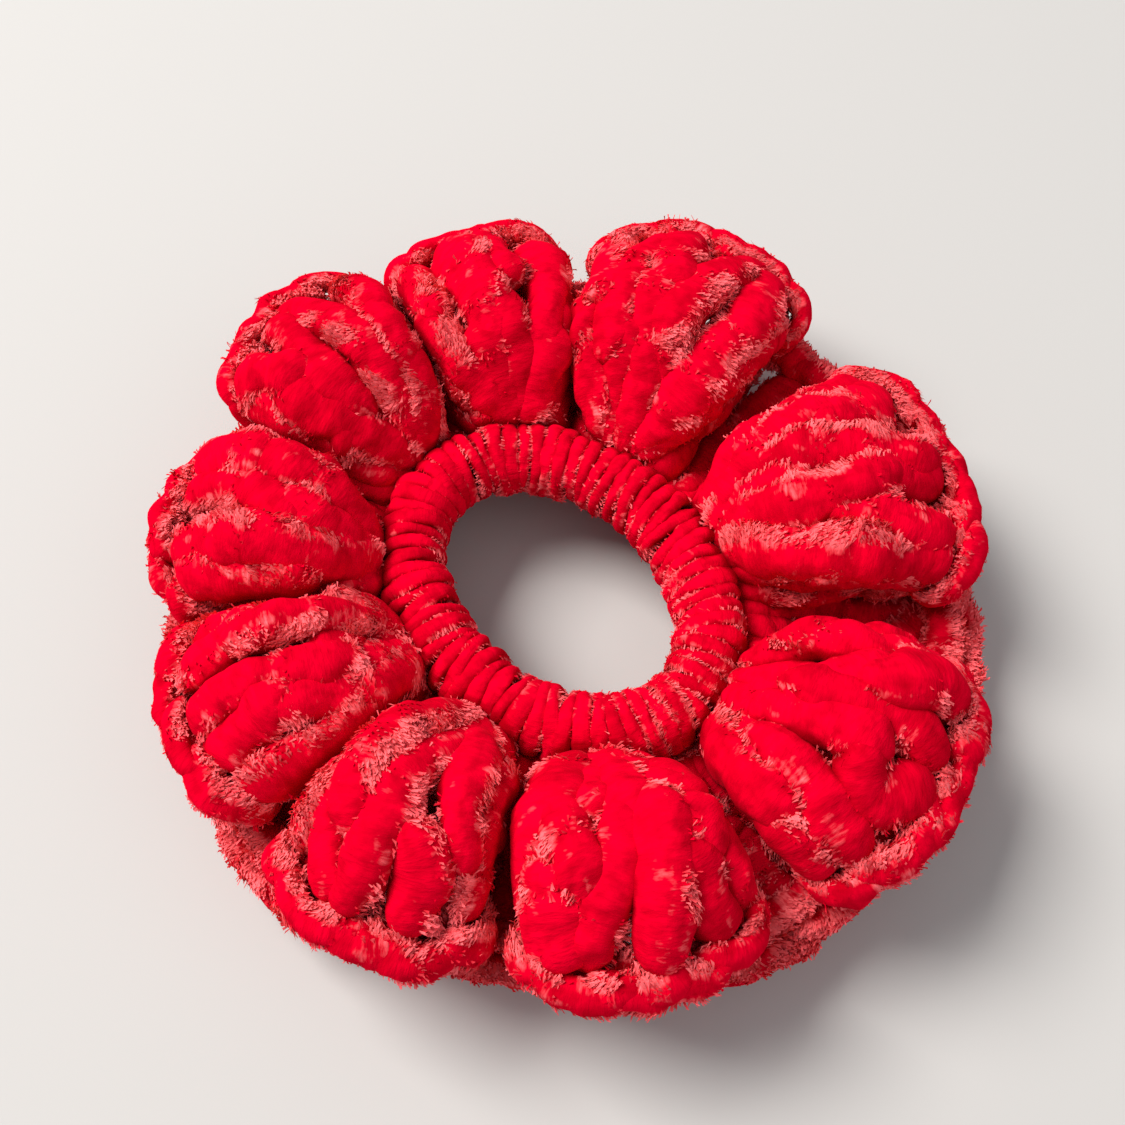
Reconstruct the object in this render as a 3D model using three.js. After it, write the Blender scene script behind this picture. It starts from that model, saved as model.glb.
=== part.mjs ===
// A crocheted scrunchie of thick chenille yarn over a round hair elastic, in millimetres, +Z up.
// It lies flat: nine puffed folds of the ruffle stand up, and nine more hang between and below them.
// The elastic lies in an oval, and a round of tight stitches wraps it from end to end.
import * as THREE from "three";

// The oval that the elastic's centreline lies in
const OVAL_HALF_LENGTH = 30.5;
const OVAL_HALF_WIDTH = 22.7;
const OVAL_TURN = THREE.MathUtils.degToRad(-48);
const OVAL_CENTRE = new THREE.Vector2(-0.7, -5);

// The hair elastic, from the inside out
const RUBBER_THREADS = 4;
const RUBBER_RADIUS = 0.5;
const RUBBER_PITCH_RADIUS = 0.85;
const SHEATH_INNER_RADIUS = 1.6;
const SHEATH_OUTER_RADIUS = 2;
const END_GAP = 0.8;
const SLEEVE_INNER_RADIUS = 2.25;
const SLEEVE_OUTER_RADIUS = 2.75;
const SLEEVE_LENGTH = 7;

// The round of stitches worked over the elastic
const STITCH_INNER_RADIUS = 4.3;
const STITCH_OUTER_RADIUS = 6.6;
const STITCH_WRAP_WIDTH = 3.1;
const STITCH_WRAP_DEPTH = 0.6;
const STITCH_SIDES = 10;

// Yarn ends that are worked in beside the elastic, and the knot that ends the last round
const TAIL_RADIUS = 0.8;
const TAIL_OFFSET = 3.1;
const TAIL_LENGTH = 24;
const KNOT_RADIUS = 2.6;

// The ruffle. Each upper fold spans a wedge of azimuth, in degrees anticlockwise from +X.
const UPPER_FOLDS = [
  { from: 262, to: 300, reach: 73, crown: 20 },
  { from: 300, to: 349, reach: 75, crown: 21 },
  { from: 349, to: 407, reach: 75, crown: 22 },
  { from: 407, to: 449, reach: 80, crown: 22 },
  { from: 449, to: 478, reach: 77, crown: 20 },
  { from: 478, to: 511, reach: 79, crown: 20 },
  { from: 516, to: 547, reach: 71, crown: 19 },
  { from: 547, to: 585, reach: 70, crown: 21 },
  { from: 585, to: 622, reach: 70, crown: 21 },
];
const LOWER_REACH = 71;
const LOWER_DEPTH = 20.5;
const FOOT_DEPTH = 19;
const ROOT_CLEARANCE = 1.2;
const FOLD_FULLNESS = 0.72;
const FOLD_SIDES = 16;
const FOLD_RINGS = 9;

const GAP = 0.3;
const YARN_RED = "#c4000f";
const DEG = THREE.MathUtils.degToRad(1);

const yarn = () => new THREE.MeshStandardMaterial({ color: YARN_RED, roughness: 0.95, metalness: 0 });
const rubber = () => new THREE.MeshStandardMaterial({ color: "#cbb48a", roughness: 0.6, metalness: 0 });
const braid = () => new THREE.MeshStandardMaterial({ color: "#1a1718", roughness: 0.85, metalness: 0 });
const bond = () => new THREE.MeshStandardMaterial({ color: "#2a2526", roughness: 0.4, metalness: 0 });

const scrunchie = new THREE.Group();

function add(name, geometry, material) {
  const mesh = new THREE.Mesh(geometry, material);
  mesh.name = name;
  scrunchie.add(mesh);
  return mesh;
}

// A stretch of the oval between two azimuths, moved off the centreline by (outward, up).
class OvalArc extends THREE.Curve {
  constructor(fromDegrees, toDegrees, outward = 0, up = 0) {
    super();
    Object.assign(this, { fromDegrees, toDegrees, outward, up });
  }

  getPoint(t, target = new THREE.Vector3()) {
    const azimuth = THREE.MathUtils.lerp(this.fromDegrees, this.toDegrees, t) * DEG;
    const turned = azimuth - OVAL_TURN;
    const radius =
      (OVAL_HALF_LENGTH * OVAL_HALF_WIDTH) /
      Math.hypot(OVAL_HALF_WIDTH * Math.cos(turned), OVAL_HALF_LENGTH * Math.sin(turned));
    const reach = radius + this.outward;
    return target.set(
      OVAL_CENTRE.x + reach * Math.cos(azimuth),
      OVAL_CENTRE.y + reach * Math.sin(azimuth),
      this.up,
    );
  }
}

const onOval = (azimuth, outward = 0, up = 0) => new OvalArc(azimuth, azimuth, outward, up).getPoint(0);

// Half the azimuth that a length of the oval takes up around a given azimuth.
function halfAngleOf(length, azimuth) {
  const reach = onOval(azimuth).sub(new THREE.Vector3(OVAL_CENTRE.x, OVAL_CENTRE.y, 0)).length();
  return length / 2 / reach / DEG;
}

// A solid or hollow round section swept along a curve.
function sweep(curve, radius, holeRadius, sides, steps) {
  const section = new THREE.Shape().absarc(0, 0, radius, 0, 2 * Math.PI);
  if (holeRadius > 0) {
    section.holes.push(new THREE.Path().absarc(0, 0, holeRadius, 0, 2 * Math.PI));
  }
  return new THREE.ExtrudeGeometry(section, { extrudePath: curve, steps, curveSegments: sides / 2 });
}

// The folds around the ring: each upper fold, then the lower fold between it and the next one.
function layOutFolds() {
  const middle = (fold) => (fold.from + fold.to) / 2;
  return UPPER_FOLDS.flatMap((fold, i) => {
    const next = UPPER_FOLDS[(i + 1) % UPPER_FOLDS.length];
    const turn = i === UPPER_FOLDS.length - 1 ? 360 : 0;
    const lower = { from: middle(fold), to: middle(next) + turn, reach: LOWER_REACH };
    return [
      { ...fold, level: "upper", index: i + 1, azimuth: middle(fold) },
      { ...lower, level: "lower", index: i + 1, azimuth: middle(lower) },
    ];
  });
}

// The elastic: rubber threads in a braided sheath, cut to length and bonded end to end in a sleeve.
function buildElastic(jointAzimuth) {
  const halfEnd = halfAngleOf(END_GAP, jointAzimuth);
  const from = jointAzimuth + halfEnd;
  const to = jointAzimuth + 360 - halfEnd;
  for (let i = 0; i < RUBBER_THREADS; i += 1) {
    const around = ((i + 0.5) / RUBBER_THREADS) * 2 * Math.PI;
    const outward = RUBBER_PITCH_RADIUS * Math.cos(around);
    const up = RUBBER_PITCH_RADIUS * Math.sin(around);
    const path = new OvalArc(from, to, outward, up);
    add(`rubber_thread_${i + 1}`, sweep(path, RUBBER_RADIUS, 0, 5, 48), rubber());
  }
  const sheathPath = new OvalArc(from, to);
  add("elastic_sheath", sweep(sheathPath, SHEATH_OUTER_RADIUS, SHEATH_INNER_RADIUS, 10, 54), braid());

  const halfSleeve = halfAngleOf(SLEEVE_LENGTH, jointAzimuth);
  const sleevePath = new OvalArc(jointAzimuth - halfSleeve, jointAzimuth + halfSleeve);
  add("elastic_joint_sleeve", sweep(sleevePath, SLEEVE_OUTER_RADIUS, SLEEVE_INNER_RADIUS, 12, 6), bond());
}

// One sector of the stitches over the elastic: a lathed sleeve with a ridge for each wrap of yarn,
// then bent so that its straight axis, +Y, follows the oval.
function stitchSleeve(from, to) {
  const curve = new OvalArc(from, to);
  const length = curve.getLength();
  const wraps = Math.max(2, Math.round(length / STITCH_WRAP_WIDTH));
  const end = GAP / 2 / length;
  const outside = [];
  for (let i = 0; i <= 2 * wraps; i += 1) {
    const along = THREE.MathUtils.lerp(end, 1 - end, i / (2 * wraps));
    const isRidge = i % 2 === 1;
    outside.push(new THREE.Vector2(STITCH_OUTER_RADIUS - (isRidge ? 0 : STITCH_WRAP_DEPTH), along));
  }
  const profile = [
    new THREE.Vector2(STITCH_INNER_RADIUS, end),
    ...outside,
    new THREE.Vector2(STITCH_INNER_RADIUS, 1 - end),
    new THREE.Vector2(STITCH_INNER_RADIUS, end),
  ];
  const geometry = new THREE.LatheGeometry(profile, STITCH_SIDES);
  const position = geometry.getAttribute("position");
  const side = new THREE.Vector3();
  for (let i = 0; i < position.count; i += 1) {
    const along = position.getY(i);
    const centre = curve.getPoint(along);
    const tangent = curve.getTangent(along);
    side.set(tangent.y, -tangent.x, 0);
    const outward = position.getX(i);
    position.setXYZ(i, centre.x + side.x * outward, centre.y + side.y * outward, position.getZ(i));
  }
  return geometry;
}

const soften = (value) => Math.sign(value) * Math.abs(value) ** FOLD_FULLNESS;

// One fold of the ruffle as a plain puff: a sphere drawn out along its wedge. It is domed on its own
// side of the ring's plane and nearly flat on the other, and a lower fold has a flat foot.
function foldPuff(fold) {
  const geometry = new THREE.SphereGeometry(1, FOLD_SIDES, FOLD_RINGS);
  const position = geometry.getAttribute("position");
  const halfWedge = ((fold.to - fold.from) / 2) * DEG;
  const isUpper = fold.level === "upper";
  const height = isUpper ? fold.crown : LOWER_DEPTH;
  const centre = new THREE.Vector3(OVAL_CENTRE.x, OVAL_CENTRE.y, 0);
  const edges = [fold.from, fold.azimuth, fold.to].map((azimuth) => onOval(azimuth).distanceTo(centre));
  const root = Math.max(...edges) + STITCH_OUTER_RADIUS + ROOT_CLEARANCE;
  const outward = new THREE.Vector3(Math.cos(fold.azimuth * DEG), Math.sin(fold.azimuth * DEG), 0);
  const sideways = new THREE.Vector3(outward.y, -outward.x, 0).multiplyScalar(isUpper ? 1 : -1);
  for (let i = 0; i < position.count; i += 1) {
    const along = THREE.MathUtils.lerp(root, fold.reach, (soften(position.getX(i)) + 1) / 2);
    const halfWidth = along * Math.tan(halfWedge) - GAP;
    const across = soften(position.getZ(i)) * halfWidth;
    const rise = soften(Math.max(position.getY(i), 0)) * height;
    const level = isUpper ? GAP + rise : -Math.min(GAP + rise, FOOT_DEPTH);
    const point = centre.clone().addScaledVector(outward, along).addScaledVector(sideways, across);
    position.setXYZ(i, point.x, point.y, level);
  }
  return geometry;
}

// The yarn's two ends lie beside the elastic, on either side of its joint, under the stitches.
function buildYarnEnds(folds) {
  const tail = (azimuth, up) => {
    const half = halfAngleOf(TAIL_LENGTH, azimuth);
    const path = new OvalArc(azimuth - half, azimuth + half, 0, up);
    return sweep(path, TAIL_RADIUS, 0, 8, 12);
  };
  const last = folds.at(-1);
  add("yarn_start_tail", tail(folds[2].azimuth, TAIL_OFFSET), yarn());
  add("yarn_end_tail", tail(folds.at(-2).azimuth, -TAIL_OFFSET), yarn());
  const knot = add("fasten_off_knot", new THREE.IcosahedronGeometry(KNOT_RADIUS, 1), yarn());
  knot.position.copy(onOval(last.azimuth, 0, -(STITCH_OUTER_RADIUS + KNOT_RADIUS + GAP)));
}

function buildScrunchie() {
  const folds = layOutFolds();
  buildElastic(folds[0].azimuth);
  folds.forEach((fold, i) => {
    const before = folds[(i + folds.length - 1) % folds.length];
    const after = folds[(i + 1) % folds.length];
    const start = (fold.azimuth + before.azimuth - (i === 0 ? 360 : 0)) / 2;
    const stop = (fold.azimuth + after.azimuth + (i === folds.length - 1 ? 360 : 0)) / 2;
    const number = String(i + 1).padStart(2, "0");
    add(`ring_stitches_${number}`, stitchSleeve(start, stop), yarn());
    add(`${fold.level}_ruffle_${fold.index}`, foldPuff(fold), yarn());
  });
  buildYarnEnds(folds);
}

buildScrunchie();

// The origin is at the middle of the base.
const box = new THREE.Box3().setFromObject(scrunchie, true);
const middle = box.getCenter(new THREE.Vector3());
scrunchie.position.set(-middle.x, -middle.y, -box.min.z);

export default scrunchie;
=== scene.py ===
import math

import bpy
import numpy as np
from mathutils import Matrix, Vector


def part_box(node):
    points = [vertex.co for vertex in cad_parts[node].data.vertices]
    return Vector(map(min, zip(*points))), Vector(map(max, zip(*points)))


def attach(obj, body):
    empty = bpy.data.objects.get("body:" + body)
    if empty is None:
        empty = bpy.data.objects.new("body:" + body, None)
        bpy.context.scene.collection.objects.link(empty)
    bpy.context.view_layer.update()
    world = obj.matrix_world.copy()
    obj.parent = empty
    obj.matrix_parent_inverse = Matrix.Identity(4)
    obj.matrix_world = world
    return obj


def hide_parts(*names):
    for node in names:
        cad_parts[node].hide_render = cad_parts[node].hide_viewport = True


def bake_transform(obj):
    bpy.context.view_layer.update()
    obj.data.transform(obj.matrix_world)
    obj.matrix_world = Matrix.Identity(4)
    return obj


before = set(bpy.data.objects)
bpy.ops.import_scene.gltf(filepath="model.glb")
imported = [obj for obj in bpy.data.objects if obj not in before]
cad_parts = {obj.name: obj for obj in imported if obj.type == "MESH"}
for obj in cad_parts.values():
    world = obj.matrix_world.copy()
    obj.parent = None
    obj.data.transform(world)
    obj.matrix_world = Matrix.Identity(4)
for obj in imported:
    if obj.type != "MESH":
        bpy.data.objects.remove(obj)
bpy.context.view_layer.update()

mm = 0.001

# The oval that the elastic lies in. Azimuths are degrees anticlockwise from +X round its middle.
oval = {
    "halfLength": 30.5 * mm,
    "halfWidth": 22.7 * mm,
    "turn": math.radians(-48),
    # each standing fold is the wedge between two of these, and the narrow one is only a gap
    "foldEnds": [262, 300, 349, 407, 449, 478, 511, 516, 547, 585, 622],
    "narrowWedge": 10,
}
sheathLow, sheathHigh = (np.array(corner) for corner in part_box("elastic_sheath"))
ringCentre = (sheathLow + sheathHigh) / 2


def foldMiddles():
    ends = oval["foldEnds"]
    wedges = [(a, b) for a, b in zip(ends, ends[1:]) if b - a > oval["narrowWedge"]]
    upper = [(a + b) / 2 for a, b in wedges]
    lower = [(a + b) / 2 for a, b in zip(upper, upper[1:] + [upper[0] + 360])]
    return np.array([azimuth for pair in zip(upper, lower) for azimuth in pair])


crestAzimuth = foldMiddles()          # even places are upper folds, odd places are lower ones
sectorCount = len(crestAzimuth)
bodyName = [f"sector_{k + 1:02d}" for k in range(sectorCount)]
openGap = 9                           # the loop is open between this sector and the next


def azimuthAt(q):
    # smooth azimuth for a place q counted in crests, past either end too
    extended = np.concatenate([crestAzimuth - 360, crestAzimuth, crestAzimuth + 360])
    places = np.arange(len(extended)) - sectorCount
    q = np.asarray(q, float)
    i = np.clip(np.floor(q).astype(int) + sectorCount, 1, len(places) - 3)
    t = q - places[i]
    a, b, c, d = extended[i - 1], extended[i], extended[i + 1], extended[i + 2]
    return b + 0.5 * t * (c - a + t * (2 * a - 5 * b + 4 * c - d + t * (3 * (b - c) + d - a)))


def ovalRadius(azimuth):
    turned = np.radians(azimuth) - oval["turn"]
    a, b = oval["halfLength"], oval["halfWidth"]
    return a * b / np.hypot(b * np.cos(turned), a * np.sin(turned))


def polar(azimuth, radius, height=0.0):
    angle = np.radians(azimuth)
    x, y, z = np.broadcast_arrays(radius * np.cos(angle), radius * np.sin(angle), height)
    return ringCentre + np.stack([x, y, z], -1)


def crestPoint(k):
    return polar(azimuthAt(float(k)), ovalRadius(azimuthAt(float(k))))


def unit(v):
    return v / np.maximum(np.linalg.norm(v, axis=-1, keepdims=True), 1e-12)


def pileCells(u, v, around, seed):
    # jittered cells on a strand: distance to the nearest middle, and that cell's own random number
    cells = np.random.default_rng(seed)
    along = int(np.ceil(u.max())) + 3
    middle = cells.random((along, around, 2)) * 0.7 + 0.15
    own = cells.random((along, around))
    best = np.full(u.shape, 9.0)
    number = np.zeros(u.shape)
    iu, iv = np.floor(u).astype(int), np.floor(v).astype(int)
    for du in (-1, 0, 1):
        for dv in (-1, 0, 1):
            row = np.clip(iu + du + 1, 0, along - 1)
            column = (iv + dv) % around
            distance = np.hypot(iu + du + middle[row, column, 0] - u, iv + dv + middle[row, column, 1] - v)
            nearer = distance < best
            best = np.where(nearer, distance, best)
            number = np.where(nearer, own[row, column], number)
    return best, number


def softWave(u, strand, period, count=3):
    # a slow wandering value along a strand
    total = np.zeros_like(u)
    for _ in range(count):
        total += np.sin(u / period * strand.uniform(3, 9) + strand.uniform(0, 6.28))
    return total / count


strandPile = {
    "roughSize": 9 * mm,         # of the ruffled-up places all over the scrunchie
    "edgeBias": 0.15,            # frayed less on the far edge
    "endShare": 0.16,            # of a strand's length, where the pile spreads at its ends
    "wanderSize": 8 * mm,
    "wanderTwist": 5 * mm,
    "roughLevel": 0.45,
    "roughSpread": 0.7,
    "roughAlong": 10 * mm,
    "roughTwist": 3 * mm,
    "edgeFringe": 0.38,
    "roughFringe": 0.65,
    "crownFringe": 0.5,
    "endFringe": 0.35,
    "lessFringe": 0.1,
    "smoothLift": 0.12,          # share of the clumps' height where nothing is frayed
    "clumpMiddle": 0.35,
    "thinLift": 1.15,
    "palest": 0.15,
    "palestClump": 0.9,
    "valleyLight": 0.45,
    "clumpLight": 0.75,
    "fringeShade": 0.25,
}


def roughPlaces(points):
    # where the pile is ruffled up, from -1 to 1, wandering over the whole scrunchie
    x, y, z = (points / strandPile["roughSize"]).T
    return (np.sin(1.1 * x + 0.7 * y + 1.3) + np.sin(0.9 * y - 1.2 * x + 0.8 * z + 4.0)
            + np.sin(1.4 * z + 0.5 * x - 0.6 * y + 2.2)) / 3


def strandMesh(path, side, halfWidth, halfDepth, look, seed, closed=False, frayed=0.0):
    # a strand of chenille along path; side is the direction of its width at each point
    strand = np.random.default_rng(seed)
    rule = strandPile
    count = look["around"]
    length = np.concatenate([[0], np.cumsum(np.linalg.norm(np.diff(path, axis=0), axis=1))])
    along = unit(np.gradient(path, axis=0))
    if closed:
        along[0] = along[-1] = unit(path[1] - path[-2])
    across = unit(side - along * np.sum(side * along, 1)[:, None])
    normal = np.cross(along, across)
    theta = np.linspace(0, 2 * np.pi, count, endpoint=False)
    s, angle = np.meshgrid(length, theta, indexing="ij")
    girth = np.pi * (halfWidth.max() + halfDepth.max())
    cellsAround = max(6, round(girth / look["clumpAround"]))
    edge = np.clip((np.abs(np.cos(angle)) - look["bandFrom"]) / look["bandWidth"], 0, 1)
    edge = edge ** 2 * (3 - 2 * edge) * (1 - rule["edgeBias"] + rule["edgeBias"] * np.cos(angle))
    t = s / length[-1]
    ends = 0 if closed else np.clip(1 - np.minimum(t, 1 - t) / rule["endShare"], 0, 1)
    tilt = strand.uniform(-0.5, 0.5)
    wander = softWave(s + rule["wanderTwist"] * np.sin(angle), strand, rule["wanderSize"])
    distance, own = pileCells(
        s / look["clumpAlong"] + tilt * np.cos(angle) + 1.0,
        angle / (2 * np.pi) * cellsAround, cellsAround, seed)
    clump = np.clip(1 - distance / 0.85, 0, 1) ** 0.75 * (0.35 + 0.65 * own)
    ruffled = softWave(s + rule["roughTwist"] * np.sin(angle), strand, rule["roughAlong"])
    rough = np.clip(rule["roughLevel"] + rule["roughSpread"] * ruffled
                    + look["roughness"] * roughPlaces(path)[:, None]
                    + np.reshape(frayed, (-1, 1)), 0, 1)
    fringe = np.clip(edge * (rule["edgeFringe"] + rule["roughFringe"] * rough)
                     + rule["crownFringe"] * rough ** 3 * (1 - edge)
                     + rule["endFringe"] * ends - rule["lessFringe"], 0, 1)
    raised = rule["smoothLift"] + (1 - rule["smoothLift"]) * fringe
    lift = look["clumpHeight"] * raised * (clump - rule["clumpMiddle"]) + look["wander"] * wander
    w = halfWidth[:, None] * np.cos(angle)
    d = halfDepth[:, None] * np.sin(angle)
    outward = unit(np.stack([np.cos(angle) * halfDepth[:, None], np.sin(angle) * halfWidth[:, None]], -1))
    taper = np.minimum(1, halfWidth / halfWidth.max() * rule["thinLift"])[:, None]
    w = w + outward[..., 0] * lift * taper
    d = d + outward[..., 1] * lift * taper
    points = path[:, None] + across[:, None] * w[..., None] + normal[:, None] * d[..., None]
    radius = (halfWidth.max() + halfDepth.max()) / 2
    place = np.stack([s + strand.uniform(0, 1), radius * np.cos(angle), radius * np.sin(angle)], -1)
    sides = across[:, None] * outward[..., :1] + normal[:, None] * outward[..., 1:]
    parting = across[:, None] * (np.cos(angle) * np.abs(np.sin(angle)) ** 0.5)[..., None]
    spacing = np.gradient(length)[:, None] * girth / count * taper
    whole = np.ones_like(angle)
    mesh = {
        "points": points, "place": place, "outward": sides, "parting": parting,
        "middle": np.broadcast_to(path[:, None], points.shape),
        "axis": np.broadcast_to(along[:, None], points.shape),
        "fringe": fringe, "area": spacing * whole,
        # pile marks the frayed pile that is painted paler, partly as painted sheen; light is painted shade,
        # darker in the valleys between clumps and in the frayed gaps
        "pile": np.clip(fringe * (rule["palest"] + rule["palestClump"] * clump), 0, 1),
        "light": np.clip(rule["valleyLight"] + rule["clumpLight"] * clump
                         - rule["fringeShade"] * (1 - clump) * fringe, 0, 1),
        "tone": strand.random() * whole,
    }
    rows = len(path) - closed
    mesh = {key: value[:rows].reshape(rows * count, *value.shape[2:]) for key, value in mesh.items()}
    quad = np.arange(rows * count).reshape(rows, count)
    below = np.roll(quad, -1, axis=0)
    if not closed:
        quad, below = quad[:-1], below[:-1]
        mesh["caps"] = [np.arange(count)[::-1], np.arange(count) + (rows - 1) * count]
    mesh["quads"] = np.stack([quad, np.roll(quad, -1, 1), np.roll(below, -1, 1), below], -1).reshape(-1, 4)
    return mesh


def joinStrands(strands):
    offset, joined, caps = 0, {}, []
    for strand in strands:
        for key, value in strand.items():
            if key == "caps":
                caps += [cap + offset for cap in value]
            else:
                joined.setdefault(key, []).append(value + offset if key == "quads" else value)
        offset += len(strand["points"])
    joined = {key: np.concatenate(parts) for key, parts in joined.items()}
    joined["caps"] = caps
    return joined


room = {
    "cube": 0.8 * mm,
    "near": 1.5 * mm,        # a place is covered when another strand is this far above it
    "around": 2.6 * mm,      # and in shade when much of the space this far above it is full
    "margin": 8 * mm,
    "shells": (0.1, 0.3, 0.5, 0.7, 0.88),    # shares of a strand's thickness that are filled in
}


def blurRoom(full, reach, times):
    full = full.astype(np.float32)
    for _ in range(times):
        for axis in range(3):
            total = sum(np.roll(full, step, axis) for step in range(-reach, reach + 1))
            full = total / (2 * reach + 1)
    return full


def fillRoom(pieces):
    # which small cubes of space are inside a strand, sharp and blurred
    everywhere = np.concatenate([piece["points"] for piece in pieces])
    low = everywhere.min(0) - room["margin"]
    shape = np.ceil((everywhere.max(0) + room["margin"] - low) / room["cube"]).astype(int)
    full = np.zeros(shape, bool)
    for piece in pieces:
        for share in room["shells"]:
            inner = piece["middle"] + share * (piece["points"] - piece["middle"])
            full[tuple(((inner - low) / room["cube"]).astype(int).T)] = True
    return {"low": low, "sharp": blurRoom(full, 1, 1), "soft": blurRoom(full, 2, 2)}


def howFull(grid, low, points):
    # the grid's value at each point, blended between its cubes
    cell = (points - low) / room["cube"] - 0.5
    cell = np.clip(cell, 0, np.array(grid.shape) - 1.001)
    whole = cell.astype(int)
    part = cell - whole
    total = np.zeros(len(points))
    for corner in np.ndindex(2, 2, 2):
        share = np.prod(np.where(corner, part, 1 - part), axis=1)
        total += share * grid[tuple((whole + corner).T)]
    return total


def shadePiece(piece, filled):
    # open is 1 where the pile can stand free, and light gets painted shade where other yarn lies close
    # above
    nearby = piece["points"] + piece["outward"] * room["near"]
    further = piece["points"] + piece["outward"] * room["around"]
    near = howFull(filled["sharp"], filled["low"], nearby)
    around = howFull(filled["soft"], filled["low"], further)
    piece["open"] = np.clip(1.3 - 1.5 * near, 0, 1)
    piece["light"] = piece["light"] * np.clip(1.1 - near, 0, 1) * np.clip(1.35 - 2.1 * around, 0, 1)


tuft = {
    "fringeGain": 1.6,
    "fringeFrom": 0.35,
    "gather": 1.4,               # higher keeps the tufts more to the frayed places
    "brushSize": 4 * mm,         # of the places where the pile leans one way
    "brushLean": (0.1, 0.22),
    "stray": 0.08,
    "lengths": (0.6, 1.15),
    "shortest": 0.55,
    "longer": 0.6,
    "widths": (0.6, 1.25),
    "rootBack": 0.25,
    "skew": 0.22,
    "thickness": 0.4,
    "rootPale": 0.6,
    "paleSpread": (0.6, 1.7),
}


def layTufts(piece, look, seed):
    # small closed fans of pile, parted along the middle of each strand and longest where it is frayed
    draw = np.random.default_rng(seed)
    frayed = np.clip(piece["fringe"] * tuft["fringeGain"] - tuft["fringeFrom"], 0, 1)
    weight = piece["area"] * piece["open"] * frayed ** tuft["gather"]
    amount = int(look["tufts"] * weight.sum() / mm ** 2)
    at = draw.choice(len(weight), amount, p=weight / weight.sum())
    jitter = draw.uniform(-1, 1, (amount, 3))
    outward, axis, parting = (piece[key][at] for key in ("outward", "axis", "parting"))
    frayed = frayed[at]
    scatter = np.sqrt(piece["area"][at])[:, None] * 0.6
    around = np.cross(outward, axis)
    base = piece["points"][at] + axis * jitter[:, :1] * scatter + around * jitter[:, 1:2] * scatter
    x, y, z = (base / tuft["brushSize"]).T
    brushed = np.sin(1.3 * x + 0.8 * y - 0.5 * z) + np.sin(1.1 * y - 0.9 * x + z + 2.0)
    flow = parting - outward * np.sum(parting * outward, 1)[:, None]
    lean, change = tuft["brushLean"]
    flow = unit(flow + axis * (lean + change * brushed)[:, None]
                + tuft["stray"] * draw.normal(size=(amount, 3)))
    stand = look["tuftStand"] * draw.uniform(0.0, 1.0, amount) * (0.35 + frayed)
    direction = unit(flow + outward * stand[:, None])
    wide = unit(np.cross(direction, outward))
    top = np.cross(wide, direction)
    length = look["tuftLength"] * draw.uniform(*tuft["lengths"], (amount, 1))
    length = length * (tuft["shortest"] + tuft["longer"] * frayed[:, None])
    width = look["tuftWidth"] * draw.uniform(*tuft["widths"], (amount, 1))
    tip = base + direction * length + outward * look["tuftLift"]
    base = base - direction * length * tuft["rootBack"] - outward * look["tuftSunk"]
    skew = direction * length * tuft["skew"] * jitter[:, 2:]
    corners = [base + top * tuft["thickness"] * width, base - top * tuft["thickness"] * width,
               tip - wide * width + skew, tip + wide * width - skew]
    faces = np.array([[0, 3, 2], [1, 2, 3], [0, 2, 1], [0, 1, 3]])
    # tufts are painted paler and lighter at their tips, as painted sheen, and darker at their roots, as
    # painted shade
    tipPile = np.clip(frayed * draw.uniform(*tuft["paleSpread"], amount) + 0.12, 0, 1)
    rootPile = tuft["rootPale"] * tipPile
    tipLight = np.clip(1.2 * piece["light"][at] + 0.08, 0, 1)
    rootLight = piece["light"][at] * (1.0 - 0.15 * frayed)
    own = {
        "points": np.stack(corners, 1).reshape(-1, 3),
        "place": np.repeat(piece["place"][at], 4, axis=0),
        "pile": np.stack([rootPile, rootPile, tipPile, tipPile], 1).ravel(),
        "light": np.stack([rootLight, rootLight, tipLight, tipLight], 1).ravel(),
        "tone": np.repeat(np.clip(piece["tone"][at] + 0.3 * jitter[:, 2], 0, 1), 4),
    }
    first = len(piece["points"])
    piece["tris"] = first + (np.arange(amount)[:, None, None] * 4 + faces).reshape(-1, 3)
    for key, value in own.items():
        piece[key] = np.concatenate([piece[key], value])


def makeMesh(name, data, material):
    # settles on the floor, and writes one Blender object with the yarn's own attributes
    points = data["points"].copy()
    soft = 0.5 * mm                       # how gently the yarn flattens where it rests
    low = points[:, 2] < 8 * soft
    points[low, 2] = soft * np.log1p(np.exp(points[low, 2] / soft))
    tris = data.get("tris", np.zeros((0, 3), int))
    caps = data.get("caps", [])
    corners = [data["quads"].ravel(), tris.ravel(), *caps]
    sizes = np.concatenate([np.full(len(data["quads"]), 4), np.full(len(tris), 3),
                            [len(cap) for cap in caps]]).astype(int)
    flat = np.concatenate(corners)
    mesh = bpy.data.meshes.new(name)
    mesh.vertices.add(len(points))
    mesh.vertices.foreach_set("co", points.astype(np.float32).ravel())
    mesh.loops.add(len(flat))
    mesh.loops.foreach_set("vertex_index", flat.astype(np.int32))
    mesh.polygons.add(len(sizes))
    mesh.polygons.foreach_set("loop_start", (np.cumsum(sizes) - sizes).astype(np.int32))
    mesh.polygons.foreach_set("use_smooth", sizes != 3)       # tufts stay crisp
    mesh.update(calc_edges=True)
    mesh.validate()
    for key in ("pile", "light", "tone"):
        if key in data:
            values = mesh.attributes.new(key, "FLOAT", "POINT")
            values.data.foreach_set("value", data[key].astype(np.float32))
    place = mesh.attributes.new("place", "FLOAT_VECTOR", "POINT")
    place.data.foreach_set("vector", data["place"].astype(np.float32).ravel())
    mesh.materials.append(material)
    piece = bpy.data.objects.new(name, mesh)
    bpy.context.scene.collection.objects.link(piece)
    return piece


def addNode(tree, kind, x, y, **settings):
    node = tree.nodes.new(kind)
    node.location = (x, y)
    for key, value in settings.items():
        setattr(node, key, value)
    return node


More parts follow.
